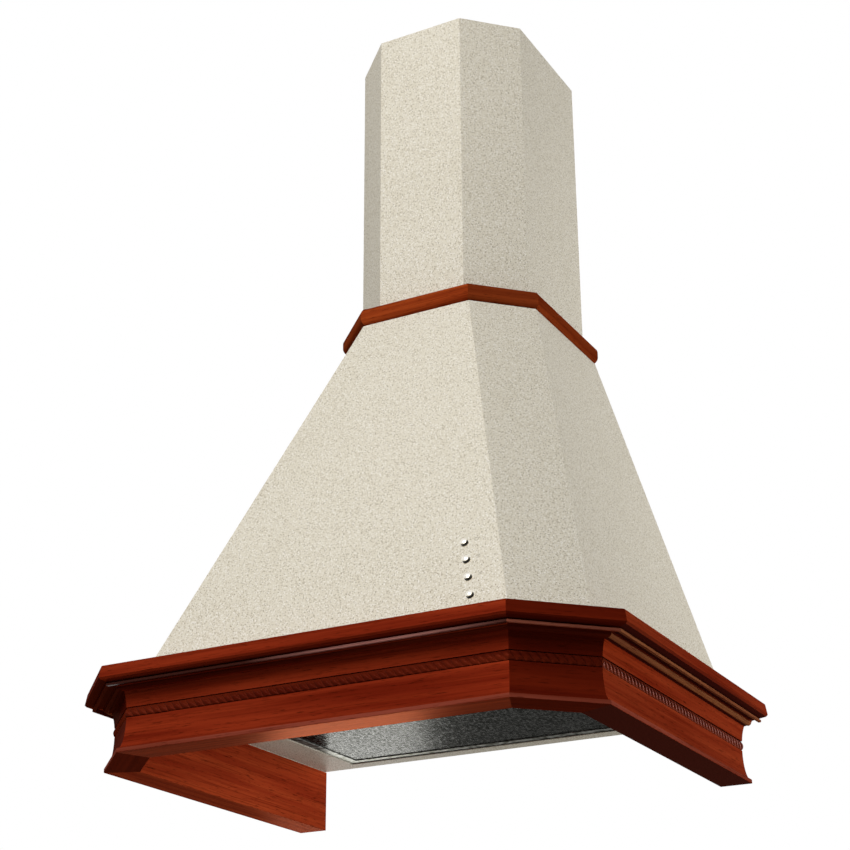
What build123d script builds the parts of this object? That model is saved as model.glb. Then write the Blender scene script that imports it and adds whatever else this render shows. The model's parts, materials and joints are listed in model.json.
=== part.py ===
from build123d import *
from math import atan, cos, radians, sin, sqrt
import os

# Wall-hung dome range hood with a moulded wood frame, in millimetres.
# X runs to the right, Y into the wall and Z up. The wall is the plane Y = 0, and the origin is
# the centre of the four wall screw holes.

# Sheet steel and clearances
sheet = 1.0
slip = 0.3  # between pieces that move past each other
seat = 0.1  # round a piece that is let into another
running = 0.05  # radial, round a shaft or a hinge pin

# Wall screw holes
wall_hole_height = 300.0  # centre of the holes above the foot of the frame
wall_hole_spread = 260.0
wall_hole_rise = 100.0
wall_hole_diameter = 8.0

# Wood frame round the foot, measured over the lower edge of its fascia
frame_width = 655.0
frame_depth = 506.4
frame_corner = 87.4  # cut off each front corner, along either side
frame_height = 90.0
ledge_height = 74.0  # foot to the ledge that the canopy stands on
ledge_side = 41.2  # fascia to the canopy's foot, at the sides
ledge_front = 44.5  # the same at the front
ledge_gap = 0.8  # round the canopy's foot
board_thickness = 62.4

# Section of the frame moulding, from the foot up
foot_inset = 25.0
foot_height = 4.6
foot_step = 1.0
scotia_depth = 7.6
scotia_half = 32.5  # foot to the deepest line
scotia_turn = 65.0  # degrees past the deepest line, up to the ovolo
ovolo_inset = 19.6
ovolo_radius = 14.0
ovolo_quirk = 1.0  # step between soffit and ovolo
soffit_height = 71.8  # at the quirk
fascia_height = 13.4
fascia_lean = 2.4  # lower edge out of the top edge
fascia_drip = 2.0  # chamfer under the lower edge
fascia_round = 2.0

# Rope bead let into the moulding
rope_centre = 44.0  # above the foot
rope_height = 11.0
rope_proud = 3.6  # out of the deepest line of the scotia
rope_let = 3.0  # into the board
rope_flat = 5.0
rope_pitch = 13.0
rope_groove = 2.4
rope_lay = 52.0  # degrees between a strand's groove and the run

# Canopy
canopy_height = 492.0  # ledge to the rim under the collar
canopy_foot_corner = 62.7
canopy_top_corner = 60.8
rim_side = 15.8  # chimney to the rim's edge, at the sides
rim_front = 15.5
back_flange = 12.0

# Chimney cover
chimney_width = 237.0
chimney_depth = 226.5
chimney_corner = 59.6
chimney_reach = 426.0  # above the rim
chimney_tuck = 40.0  # below the rim
chimney_travel = 150.0
chimney_gap = 1.0  # round the cover where it passes the rim and the collar
chimney_return = 18.0
bracket_drop = 30.0  # chimney top to the bracket
bracket_height = 28.0
bracket_sheet = 1.2
bracket_tab = 26.0
bracket_lap = 8.0
bracket_hole_spread = 120.0
bracket_hole_diameter = 6.0

# Wood collar round the chimney
collar_height = 24.0
collar_over = 4.6  # past the rim
collar_corner = 64.0
collar_round = 9.0

# Push buttons, set along the front panel's right edge
button_count = 4
button_inset = 39.5  # from the panel's edge
button_rise = 47.3  # lowest button above the ledge
button_pitch = 25.8
button_diameter = 8.0
button_proud = 4.0
button_crown = 1.2
cap_rim = 0.6  # depth of the cap round its edge
plunger_step = 0.2  # plunger in from the cap's edge
button_travel = 3.0
button_collar = 12.0
button_collar_thickness = 1.5
button_stem_diameter = 5.0
button_stem = 6.0
bezel_width = 0.6
bezel_thickness = 0.6
switch_width = 24.0
switch_end = 14.0  # past the end buttons
switch_back = 5.0

# Grease filter and the opening that it hangs in
filter_width = 425.0
filter_depth = 310.0
filter_thickness = 9.0
filter_sheet = 1.0
filter_rim = 10.0
filter_back = 20.0  # wall to the opening
filter_play = 1.5
filter_lip = 9.0
mesh_thickness = 0.8
tab_width = 24.0
tab_spread = 240.0
tab_reach = 6.0
tab_thickness = 1.2
latch_width = 44.0
latch_thickness = 2.2
latch_nose = 1.0  # out of the filter's front
latch_length = 24.0
latch_travel = 5.0
latch_pull = 12.0
latch_pull_width = 30.0

# Lamps
lamp_spread = 230.0
lamp_hole_diameter = 58.0
lamp_wall = 1.5
lamp_lip = 5.0
lamp_brim = 4.0
lamp_brim_thickness = 2.0
lamp_sleeve = 6.0
lens_thickness = 2.5
can_height = 36.0
can_brim = 4.0
can_gap = 3.0
bulb_diameter = 10.0
bulb_length = 15.0
socket_diameter = 16.0
socket_length = 12.0

# Blower
blower_height = 160.0  # shaft above the underside panel
blower_standoff = 40.0
casing_wall = 2.0
casing_flange = 3.0
wheel_diameter = 180.0
wheel_width = 110.0
wheel_side_gap = 6.0
wheel_tongue_gap = 7.0
wheel_plate = 3.0
wheel_ring = 16.0  # as deep as the blades that it holds
blade_count = 28
blade_chord = 15.0
blade_set_back = 1.0  # tip from the rings' edge
blade_sweep = 8.0  # degrees that the tip leads the heel
blade_bow = 2.0  # degrees that the middle leads the heel
blade_thickness = 1.0  # degrees
scroll_step = 18.0
throat_depth = 124.0
tongue_radius = 8.0
outlet_rise = 160.0  # shaft to the outlet
inlet_diameter = 152.0
hub_diameter = 26.0
hub_length = 26.0
shaft_diameter = 8.0
shaft_end = 4.0  # short of the motor bracket
motor_diameter = 84.0
motor_gap = 6.0  # hub to motor
motor_nose_diameter = 24.0
motor_nose = 6.0
motor_bell = 9.0
spider_thickness = 3.0
spider_ring = 12.0
spider_arm = 14.0
spider_arm_count = 3
mount_sheet = 2.0
mount_width = 110.0
mount_height = 60.0
mount_foot = 20.0
mount_drop = 45.0  # outlet to the bracket's top

# Duct outlet and non-return damper
duct_diameter = 150.0
duct_wall = 2.0
duct_length = 60.0
plate_margin = 8.0
plate_thickness = 3.0
damper_height = 14.0  # pins above the plate
damper_pin_diameter = 4.0
damper_pin_offset = 3.5
damper_thickness = 1.6
damper_gap = 1.5
damper_ledge = 5.0
damper_ledge_height = 2.0
damper_bar_width = 5.0
damper_bar_height = 3.0

# Electrical fittings on the rear panel
terminal_width = 70.0
terminal_height = 50.0
terminal_depth = 30.0
terminal_wall = 2.0
terminal_centre = -155.0
terminal_rise = 60.0  # above the underside panel
gland_diameter = 18.0
gland_height = 9.0
gland_shank_diameter = 12.0
gland_bore_diameter = 8.0
capacitor_diameter = 30.0
capacitor_length = 56.0
capacitor_centre = 165.0
capacitor_round = 3.0
clip_height = 14.0
clip_thickness = 1.2
clip_foot = 14.0

# Levels
foot_z = -wall_hole_height
ledge_z = foot_z + ledge_height
frame_top_z = foot_z + frame_height
rim_z = ledge_z + canopy_height
chimney_top_z = rim_z + chimney_reach
chimney_foot_z = rim_z - chimney_tuck
panel_z = ledge_z + sheet  # lower face of the underside panel
panel_top_z = panel_z + sheet
rear_top_z = chimney_foot_z - chimney_travel - back_flange

# Plan outlines: width, depth from the wall, corner cut
frame_outline = (frame_width, frame_depth, frame_corner)
canopy_foot = (frame_width - 2 * ledge_side, frame_depth - ledge_front, canopy_foot_corner)
chimney_outline = (chimney_width, chimney_depth, chimney_corner)
canopy_top = (chimney_width + 2 * rim_side, chimney_depth + rim_front, canopy_top_corner)
collar_outline = (canopy_top[0] + 2 * collar_over, canopy_top[1] + collar_over, collar_corner)
corner_growth = 2 - sqrt(2)  # of a 45 degree corner cut, for each millimetre that an outline grows

RUNS = ("left_side", "left_corner", "front", "right_corner", "right_side")


def grown(outline, by):
    """The outline moved out by a distance, or in where it is negative."""
    width, depth, corner = outline
    return width + 2 * by, depth + by, corner + corner_growth * by


def corners(outline, wall=0.0):
    """Plan points from the wall on the left, round the front, to the wall on the right."""
    width, depth, corner = outline
    half = width / 2
    return [
        (-half, wall),
        (-half, corner - depth),
        (corner - half, -depth),
        (half - corner, -depth),
        (half, corner - depth),
        (half, wall),
    ]


def prism(outline, low, high, wall=0.0):
    """Upright solid over an outline."""
    face = make_face(Polyline(*corners(outline, wall), close=True))
    return extrude(Pos(0, 0, low) * face, amount=high - low)


def block(low, high):
    """Box between two opposite corners."""
    size = [b - a for a, b in zip(low, high)]
    middle = [(a + b) / 2 for a, b in zip(low, high)]
    return Pos(*middle) * Box(*size)


def tube(outer, inner, low, high):
    """Ring round the Z axis, given by its two radii."""
    return extrude(Pos(0, 0, low) * (Circle(outer) - Circle(inner)), amount=high - low)


def rod(radius, low, high):
    """Round bar along the Z axis."""
    return extrude(Pos(0, 0, low) * Circle(radius), amount=high - low)


def along_x(shape):
    """Turns a shape made along Z so that it lies along X."""
    return Plane(origin=(0, 0, 0), x_dir=(0, 1, 0), z_dir=(1, 0, 0)) * shape


# Wood frame
def run_plane(run):
    """Start of a run of the frame: x runs in from the fascia, y up and z along the run."""
    points = [Vector(x, y, foot_z) for x, y in corners(frame_outline)]
    along = (points[run + 1] - points[run]).normalized()
    inward = Vector(-along.Y, along.X, 0)
    return Plane(origin=points[run], x_dir=inward, z_dir=along)


def run_length(run):
    points = [Vector(x, y) for x, y in corners(frame_outline)]
    return (points[run + 1] - points[run]).length


def mitre(corner):
    """Upright plane that halves the angle at a corner of the frame, or the wall at its two ends."""
    touching = [run for run in (corner - 1, corner) if 0 <= run < len(RUNS)]
    across = sum((run_plane(run).z_dir for run in touching), Vector())
    x, y = corners(frame_outline)[corner]
    return Plane(origin=(x, y, foot_z), z_dir=across)


def mitred(section, run):
    """A section carried along one run and cut at its two mitres."""
    plane = run_plane(run)
    over = board_thickness
    bar = extrude(plane * Pos(0, 0, -over) * section, amount=run_length(run) + 2 * over, dir=plane.z_dir)
    bar = split(bar, bisect_by=mitre(run), keep=Keep.TOP)
    return split(bar, bisect_by=mitre(run + 1), keep=Keep.BOTTOM)


scotia_lip = foot_inset + foot_step
scotia_back = scotia_lip + scotia_depth
rope_back = scotia_back + rope_let


def frame_section():
    """Moulding: square foot, scotia with a groove for the rope, ovolo, soffit and a fascia that leans out."""
    middle = foot_height + scotia_half
    scotia = EllipticalCenterArc(
        (scotia_lip, middle), scotia_depth, scotia_half, start_angle=-90, arc_size=90 + scotia_turn
    )
    quirk = (ovolo_inset, soffit_height - ovolo_quirk)
    nose = frame_height - fascia_height
    top = Vector(fascia_lean, frame_height)
    lines = [
        Polyline((board_thickness, 0), (foot_inset, 0), (foot_inset, foot_height), (scotia_lip, foot_height)),
        scotia,
        RadiusArc(scotia @ 1, quirk, ovolo_radius),
        Polyline(
            quirk,
            (ovolo_inset, soffit_height),
            (fascia_drip, nose - fascia_drip),
            (0, nose),
            top,
            (board_thickness, frame_height),
            (board_thickness, 0),
        ),
    ]
    section = make_face(lines)
    section = fillet(section.vertices().sort_by_distance(top)[0], fascia_round)
    groove = Pos((scotia_lip + rope_back) / 2, rope_centre) * Rectangle(rope_back - scotia_lip, rope_height)
    return section - groove


def frame_board(run):
    """One mitred length of the frame, rebated along its top for the canopy."""
    rebate = prism(grown(canopy_foot, ledge_gap), ledge_z, frame_top_z + ledge_gap, wall=board_thickness)
    return mitred(frame_section(), run) - rebate


def rope_section():
    """Flat-backed bead that fills its groove, with three faces in front."""
    half = rope_height / 2 - seat
    front = scotia_back - rope_proud
    outline = [
        (rope_back, half),
        (rope_back, -half),
        (scotia_back, -half),
        (front, -rope_flat / 2),
        (front, rope_flat / 2),
        (scotia_back, half),
    ]
    return Pos(0, rope_centre) * make_face(Polyline(*outline, close=True))


def rope(run):
    """One mitred length of the rope, with a slanting groove between its strands."""
    front = scotia_back - rope_proud
    lay = Plane(
        origin=(front + rope_groove, rope_centre, 0),
        x_dir=(1, 0, 0),
        z_dir=(0, -sin(radians(rope_lay)), cos(radians(rope_lay))),
    )
    notch = lay * make_face(
        Polyline((0, 0), (-2 * rope_groove, 2 * rope_groove), (-2 * rope_groove, -2 * rope_groove), close=True)
    )
    cutter = extrude(notch, amount=rope_height, both=True)
    count = int(run_length(run) / rope_pitch)
    first = (run_length(run) - (count - 1) * rope_pitch) / 2
    cutters = [run_plane(run) * Pos(0, 0, first + step * rope_pitch) * cutter for step in range(count)]
    return mitred(rope_section(), run) - cutters


# Canopy
def canopy_outline(z, inset=0.0):
    """Outline of the canopy at a height, moved in by a distance."""
    share = (z - ledge_z) / canopy_height
    level = [low + (high - low) * share for low, high in zip(canopy_foot, canopy_top)]
    return grown(level, -inset)


def canopy_body(low, high, inset=0.0, wall=0.0):
    """Flat-sided solid with the canopy's slopes between two heights."""
    below = [Vector(x, y, low) for x, y in corners(canopy_outline(low, inset), wall)]
    above = [Vector(x, y, high) for x, y in corners(canopy_outline(high, inset), wall)]
    count = len(below)
    loops = [below, above]
    for i in range(count):
        after = (i + 1) % count
        loops.append([below[i], below[after], above[after], above[i]])
    return Solid(Shell([Face(Wire.make_polygon(loop)) for loop in loops]))


front_slope = (canopy_foot[1] - canopy_top[1]) / canopy_height
edge_slope = (canopy_foot[0] / 2 - canopy_foot[2] - canopy_top[0] / 2 + canopy_top[2]) / canopy_height
front_lean = atan(front_slope)
panel_thickness = sheet * cos(front_lean)


def control_plane():
    """Lowest button on the front panel: y climbs along the row and z points out of the panel."""
    z = ledge_z + button_rise
    width, depth, corner = canopy_outline(z)
    up_row = Vector(-edge_slope, front_slope, 1).normalized()
    outward = Vector(0, -1, front_slope).normalized()
    origin = (width / 2 - corner - button_inset, -depth, z)
    return Plane(origin=origin, x_dir=up_row.cross(outward), z_dir=outward)


def button_places():
    return [control_plane() * Pos(0, step * button_pitch, 0) for step in range(button_count)]


def canopy_shell():
    """Folded sheet: five sloping panels, rim round the chimney, flange on the ledge, wall flanges."""
    body = canopy_body(ledge_z, rim_z)
    body -= canopy_body(ledge_z + sheet, rim_z - sheet, inset=sheet, wall=sheet)
    body -= prism(grown(chimney_outline, chimney_gap), rim_z - 2 * sheet, rim_z + sheet, wall=sheet)
    mouth = grown(frame_outline, sheet - board_thickness)
    body -= prism(mouth, ledge_z - sheet, ledge_z + 2 * sheet, wall=sheet)
    flange_low = rear_top_z + slip
    flanges = canopy_body(flange_low, rim_z, inset=sheet)
    flanges -= canopy_body(flange_low - sheet, rim_z + sheet, inset=sheet + back_flange, wall=sheet)
    body += flanges & block((-frame_width, -sheet, flange_low), (frame_width, 0, rim_z))
    holes = [place * rod(button_diameter / 2 + slip, -2 * sheet, sheet) for place in button_places()]
    return body - holes


def rear_panel():
    """Folded tray that closes the back, with the wall screw holes."""
    low = panel_top_z + seat
    inset = sheet + seat
    folds = block((-frame_width, -back_flange, low), (frame_width, 0, rear_top_z))
    inside = block((-frame_width, -frame_depth, low), (frame_width, -sheet, rear_top_z))
    hollow = canopy_body(low + sheet, rear_top_z - sheet, inset=inset + sheet) & inside
    tray = (canopy_body(low, rear_top_z, inset=inset) & folds) - hollow
    hole = Rot(90, 0, 0) * rod(wall_hole_diameter / 2, -2 * sheet, 2 * sheet)
    holes = [
        Pos(x * wall_hole_spread / 2, 0, z * wall_hole_rise / 2) * hole for x in (-1, 1) for z in (-1, 1)
    ]
    return tray - holes


# Chimney
def chimney_cover():
    """Five-sided cover with returns along the wall."""
    cover = prism(chimney_outline, chimney_foot_z, chimney_top_z)
    cover -= prism(grown(chimney_outline, -sheet), chimney_foot_z - sheet, chimney_top_z + sheet, wall=-sheet)
    gap = chimney_width / 2 - chimney_return
    return cover - block((-gap, -2 * sheet, chimney_foot_z - sheet), (gap, sheet, chimney_top_z + sheet))


def chimney_bracket():
    """Wall strip whose ends step forward over the cover's returns and turn along its sides."""
    top = chimney_top_z - bracket_drop
    low = top - bracket_height
    between = chimney_width / 2 - chimney_return - slip
    inside = chimney_width / 2 - sheet - seat
    step = sheet + seat
    bracket = block((-between, -bracket_sheet, low), (between, 0, top))
    for side in (-1, 1):
        ends = sorted((side * (between - bracket_lap), side * inside))
        tabs = sorted((side * (inside - bracket_sheet), side * inside))
        bracket += block((ends[0], -step - bracket_sheet, low), (ends[1], -step, top))
        bracket += block((tabs[0], -step - bracket_tab, low), (tabs[1], -step, top))
    hole = Rot(90, 0, 0) * rod(bracket_hole_diameter / 2, -2 * bracket_tab, 2 * bracket_tab)
    middle = (low + top) / 2
    return bracket - [Pos(side * bracket_hole_spread / 2, 0, middle) * hole for side in (-1, 1)]


# Wood collar
def collar_piece(run):
    """One mitred length of the collar on the rim, with its outer edges rounded."""
    inner = corners(grown(chimney_outline, chimney_gap))
    outer = corners(collar_outline)
    plan = Polyline(inner[run], inner[run + 1], outer[run + 1], outer[run], close=True)
    piece = extrude(Pos(0, 0, rim_z) * make_face(plan), amount=collar_height)
    middle = (Vector(*outer[run]) + Vector(*outer[run + 1])) / 2
    levels = (rim_z, rim_z + collar_height)
    edges = [piece.edges().sort_by_distance(middle + Vector(0, 0, z))[0] for z in levels]
    return fillet(edges, collar_round)


# Push buttons
cap_z = button_proud - cap_rim  # lower face of a button's cap
collar_z = -panel_thickness - slip  # upper face of its inner collar
stem_z = collar_z - button_collar_thickness


def button_cap():
    """Chrome cap with a domed end."""
    radius = button_diameter / 2
    crown = button_proud + button_crown
    profile = [
        Polyline((0, cap_z), (radius, cap_z), (radius, button_proud)),
        RadiusArc((radius, button_proud), (0, crown), -dome_radius(radius, button_crown)),
        Line((0, crown), (0, cap_z)),
    ]
    return revolve(Plane.XZ * make_face(profile), axis=Axis.Z)


def button_plunger():
    """Plunger that carries the cap, with a collar behind the panel and a stem."""
    plunger = rod(button_diameter / 2 - plunger_step, collar_z, cap_z)
    plunger += rod(button_collar / 2, stem_z, collar_z)
    return plunger + rod(button_stem_diameter / 2, stem_z - button_stem, stem_z)


def dome_radius(half, rise):
    """Radius of a dome from half its width and its rise."""
    return (half**2 + rise**2) / (2 * rise)


def button_bezel():
    inner = button_diameter / 2 + slip
    return tube(inner + bezel_width, inner, 0, bezel_thickness)


def switch_block():
    """Closed switch body behind the panel, with a well for each button."""
    well_end = stem_z - button_stem - button_travel - slip
    back = well_end - switch_back
    end = (button_count - 1) * button_pitch + switch_end
    body = block((-switch_width / 2, -switch_end, back), (switch_width / 2, end, -panel_thickness))
    well = rod(button_collar / 2 + slip, well_end, sheet)
    return control_plane() * (body - [Pos(0, step * button_pitch, 0) * well for step in range(button_count)])


# Underside
filter_half = filter_width / 2
opening_front = filter_back + filter_depth + 2 * filter_play  # from the wall
filter_rear_y = -filter_back - filter_play
filter_front_y = filter_rear_y - filter_depth
filter_z = panel_top_z + slip  # level with the tabs, which lie on the panel
lamp_y = -(opening_front + frame_depth - board_thickness) / 2
lamp_places = {side: Pos(sign * lamp_spread / 2, lamp_y, 0) for side, sign in (("left", -1), ("right", 1))}


def underside_panel():
    """Flat sheet on the canopy's flange, lipped round the filter and holed for the lamps."""
    half = filter_half + filter_play
    panel = prism(canopy_outline(panel_top_z, sheet + seat), panel_z, panel_top_z)
    lip_top = panel_z + filter_lip
    panel += block((-half - sheet, -opening_front - sheet, panel_z), (half + sheet, -filter_back, lip_top))
    panel -= block((-half, -opening_front, panel_z - sheet), (half, -filter_back, lip_top + sheet))
    return panel - [place * rod(lamp_hole_diameter / 2, panel_z - sheet, panel_top_z + sheet)
                    for place in lamp_places.values()]


def filter_frame():
    """Folded channel round the mesh, with two tabs that hook over the panel's rear edge."""
    top = filter_z + filter_thickness
    frame = block((-filter_half, filter_front_y, filter_z), (filter_half, filter_rear_y, top))
    frame -= block(
        (filter_sheet - filter_half, filter_front_y + filter_sheet, filter_z + filter_sheet),
        (filter_half - filter_sheet, filter_rear_y - filter_sheet, top - filter_sheet),
    )
    frame -= block(
        (filter_rim - filter_half, filter_front_y + filter_rim, filter_z - filter_sheet),
        (filter_half - filter_rim, filter_rear_y - filter_rim, top + filter_sheet),
    )
    low, high = latch_heights()
    frame -= block(
        (-latch_width / 2 - slip, filter_front_y - filter_sheet, low - slip),
        (latch_width / 2 + slip, filter_front_y + 2 * filter_sheet, high + slip),
    )
    for side in (-1, 1):
        middle = side * tab_spread / 2
        frame += block(
            (middle - tab_width / 2, filter_rear_y - filter_sheet, filter_z),
            (middle + tab_width / 2, tab_reach - filter_back, filter_z + tab_thickness),
        )
    return frame


def mesh_sheet(low):
    """One mesh layer that reaches into the frame's channel."""
    edge = filter_sheet + seat
    return block(
        (edge - filter_half, filter_front_y + edge, low),
        (filter_half - edge, filter_rear_y - edge, low + mesh_thickness),
    )


def latch_heights():
    low = filter_z + filter_sheet + slip
    return low, low + latch_thickness


def filter_mesh_lower():
    """Lower layer, notched round the latch."""
    notch = block(
        (-latch_width / 2 - 2 * slip, filter_front_y, filter_z),
        (
            latch_width / 2 + 2 * slip,
            filter_front_y + latch_length + latch_travel + 2 * slip,
            filter_z + filter_thickness / 2,
        ),
    )
    return mesh_sheet(filter_z + filter_sheet) - notch


def filter_mesh_upper():
    return mesh_sheet(filter_z + filter_thickness - filter_sheet - mesh_thickness)


def filter_latch():
    """Spring catch: a sliding plate whose nose bears on the opening's lip, with a pull below."""
    low, high = latch_heights()
    nose = filter_front_y - latch_nose
    inner = filter_front_y + latch_length
    latch = block((-latch_width / 2, nose, low), (latch_width / 2, inner, high))
    latch = fillet(latch.edges().filter_by(Axis.X).group_by(Axis.Y)[0], latch_thickness / 3)
    pull = block(
        (-latch_pull_width / 2, inner - latch_thickness, filter_z - latch_pull),
        (latch_pull_width / 2, inner, low),
    )
    pull = fillet(pull.edges().filter_by(Axis.Y).group_by(Axis.Z)[0], latch_pull / 3)
    return latch + pull


# Lamps
lamp_sleeve_radius = lamp_hole_diameter / 2 - slip
lens_radius = lamp_sleeve_radius - lamp_wall - seat


def lamp_bezel():
    """Trim ring under the panel with a sleeve through the hole."""
    brim_low = panel_z - lamp_brim_thickness
    brim = tube(lamp_hole_diameter / 2 + lamp_brim, lens_radius - lamp_lip, brim_low, panel_z)
    brim = chamfer(brim.edges().group_by(Axis.Z)[0], lamp_brim_thickness / 3)
    return brim + tube(lamp_sleeve_radius, lamp_sleeve_radius - lamp_wall, panel_z, panel_top_z + lamp_sleeve)


def lamp_lens():
    return rod(lens_radius, panel_z, panel_z + lens_thickness)


def lamp_can():
    """Pressed cup over the hole, brim down."""
    inner = lamp_hole_diameter / 2 + can_gap
    top = panel_top_z + can_height
    can = rod(inner + sheet, panel_top_z, top) - rod(inner, panel_top_z - sheet, top - sheet)
    return can + tube(inner + sheet + can_brim, inner, panel_top_z, panel_top_z + sheet)


def lamp_bulb():
    """Capsule on its socket, hanging from the can."""
    top = panel_top_z + can_height - sheet
    socket = rod(socket_diameter / 2, top - socket_length, top)
    tip = top - socket_length - bulb_length
    capsule = rod(bulb_diameter / 2, tip, top - socket_length)
    return socket + chamfer(capsule.edges().group_by(Axis.Z)[0], bulb_diameter / 4)


# Blower, drawn along its shaft: the scroll opens from the tongue, round the front, to the rear wall
wheel_radius = wheel_diameter / 2
casing_half = wheel_width / 2 + wheel_side_gap  # inside
scroll_radius = wheel_radius + wheel_tongue_gap + scroll_step / 2
scroll_rear = scroll_radius + 2 * scroll_step + scroll_step / 2  # shaft to the rear wall's inner face
shaft_y = -(sheet + blower_standoff + casing_wall + scroll_rear)
shaft_z = panel_top_z + blower_height
outlet_z = shaft_z + outlet_rise
outlet_y = shaft_y + scroll_rear - throat_depth / 2
duct_radius = duct_diameter / 2
plate_half = duct_radius + plate_margin
shaft_place = Pos(0, shaft_y, shaft_z)
outlet_place = Pos(0, outlet_y, outlet_z)


def scroll_face(grow, rise):
    """Outline of the air space, moved out by grow: three quarter arcs and a straight throat."""
    half = scroll_step / 2
    first = scroll_radius + grow
    rear = scroll_rear + grow
    throat = scroll_rear - throat_depth - grow
    tongue = first - half
    tip = tongue_radius - grow
    lines = [
        CenterArc((-half, -half), first, 90, 90),
        CenterArc((half, -half), first + scroll_step, 180, 90),
        CenterArc((half, half), first + 2 * scroll_step, 270, 90),
        Polyline((rear, half), (rear, rise), (throat, rise), (throat, tongue + tip)),
        CenterArc((throat - tip, tongue + tip), tip, 0, -90),
        Line((throat - tip, tongue), (-half, tongue)),
    ]
    return Plane.YZ * make_face(lines)


def blower_casing():
    """Whole casing round the air space, with its inlets and a flange round the outlet."""
    outer = casing_half + casing_wall
    body = extrude(scroll_face(casing_wall, outlet_rise), amount=outer, both=True)
    flange = extrude(
        Pos(0, outlet_y - shaft_y, outlet_rise - casing_flange) * Rectangle(2 * plate_half, 2 * plate_half),
        amount=casing_flange,
    )
    body += flange
    body -= extrude(scroll_face(0, outlet_rise + casing_flange), amount=casing_half, both=True)
    body -= along_x(rod(inlet_diameter / 2, -2 * outer, 2 * outer))
    return shaft_place * body


def fan_wheel():
    """Double-inlet wheel: hub plate in the middle, a ring at each end and forward-bent blades."""
    half = wheel_width / 2
    heel = wheel_radius - blade_chord

    def at(radius, angle):
        return radius * cos(radians(angle)), radius * sin(radians(angle))

    tip = wheel_radius - blade_set_back
    face = [at(heel, 0), at((heel + tip) / 2, blade_bow), at(tip, blade_sweep)]
    back = [
        at(tip, blade_sweep + blade_thickness),
        at((heel + tip) / 2, blade_bow + blade_thickness),
        at(heel, blade_thickness),
    ]
    section = make_face(Polyline(*face, *back, close=True))
    reach = half - wheel_plate / 2  # into the rings
    blade = extrude(section, amount=reach, both=True)
    blades = [Rot(0, 0, 360 * step / blade_count) * blade for step in range(blade_count)]
    wheel = rod(wheel_radius, -wheel_plate / 2, wheel_plate / 2)
    wheel += tube(wheel_radius, wheel_radius - wheel_ring, half - wheel_plate, half)
    wheel += tube(wheel_radius, wheel_radius - wheel_ring, -half, wheel_plate - half)
    wheel += rod(hub_diameter / 2, -hub_length / 2, hub_length / 2)
    wheel += blades
    wheel -= rod(shaft_diameter / 2 + running, -half, half)
    return shaft_place * along_x(wheel)


motor_low = hub_length / 2 + motor_gap
motor_high = casing_half + casing_wall


def motor():
    """Motor inside the wheel: end bells round a can, with a bearing nose at each end."""
    radius = motor_diameter / 2
    bell = radius - motor_bell
    profile = Polyline(
        (shaft_diameter / 2 + running, motor_low),
        (motor_nose_diameter / 2, motor_low),
        (motor_nose_diameter / 2, motor_low + motor_nose),
        (bell, motor_low + motor_nose),
        (radius, motor_low + motor_nose + motor_bell),
        (radius, motor_high - motor_bell),
        (bell, motor_high),
        (motor_nose_diameter / 2, motor_high),
        (motor_nose_diameter / 2, motor_high + spider_thickness),
        (shaft_diameter / 2 + running, motor_high + spider_thickness),
        close=True,
    )
    return shaft_place * along_x(revolve(Plane.XZ * make_face(profile), axis=Axis.Z))


def motor_shaft():
    return shaft_place * along_x(rod(shaft_diameter / 2, -hub_length / 2, motor_high - shaft_end))


def motor_bracket():
    """Spider across the right inlet that carries the motor."""
    inner = inlet_diameter / 2
    low = motor_high
    high = low + spider_thickness
    spider = tube(inner + spider_ring, inner - sheet, low, high)
    spider += tube(motor_diameter / 2 - motor_bell, motor_nose_diameter / 2 + seat, low, high)
    reach = inner + spider_ring / 2
    start = motor_nose_diameter / 2 + motor_bell
    arm = block((start, -spider_arm / 2, low), (reach, spider_arm / 2, high))
    spider += [Rot(0, 0, 90 + 360 * step / spider_arm_count) * arm for step in range(spider_arm_count)]
    return shaft_place * along_x(spider)


def blower_mount():
    """Hat-shaped bracket from the rear panel to the casing's rear wall."""
    half = mount_width / 2
    front = -sheet - blower_standoff
    foot = -sheet - mount_sheet
    web = front + mount_sheet
    outline = [
        (-half - mount_foot, -sheet),
        (-half - mount_foot, foot),
        (-half, foot),
        (-half, front),
        (half, front),
        (half, foot),
        (half + mount_foot, foot),
        (half + mount_foot, -sheet),
        (half - mount_sheet, -sheet),
        (half - mount_sheet, web),
        (mount_sheet - half, web),
        (mount_sheet - half, -sheet),
    ]
    top = outlet_z - mount_drop
    face = make_face(Polyline(*outline, close=True))
    return extrude(Pos(0, 0, top - mount_height) * face, amount=mount_height)


# Outlet
def outlet_plate():
    plate = extrude(Rectangle(2 * plate_half, 2 * plate_half), amount=plate_thickness)
    return outlet_place * (plate - rod(duct_radius - duct_wall, -sheet, plate_thickness + sheet))


damper_z = plate_thickness + damper_height


def damper_pin(radius, side):
    """Cross pin through the duct collar, on one side of its middle."""
    reach = sqrt((duct_radius - running) ** 2 - (damper_pin_offset + damper_pin_diameter / 2) ** 2)
    return Pos(0, side * damper_pin_offset, damper_z) * along_x(rod(radius, -reach, reach))


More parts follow.
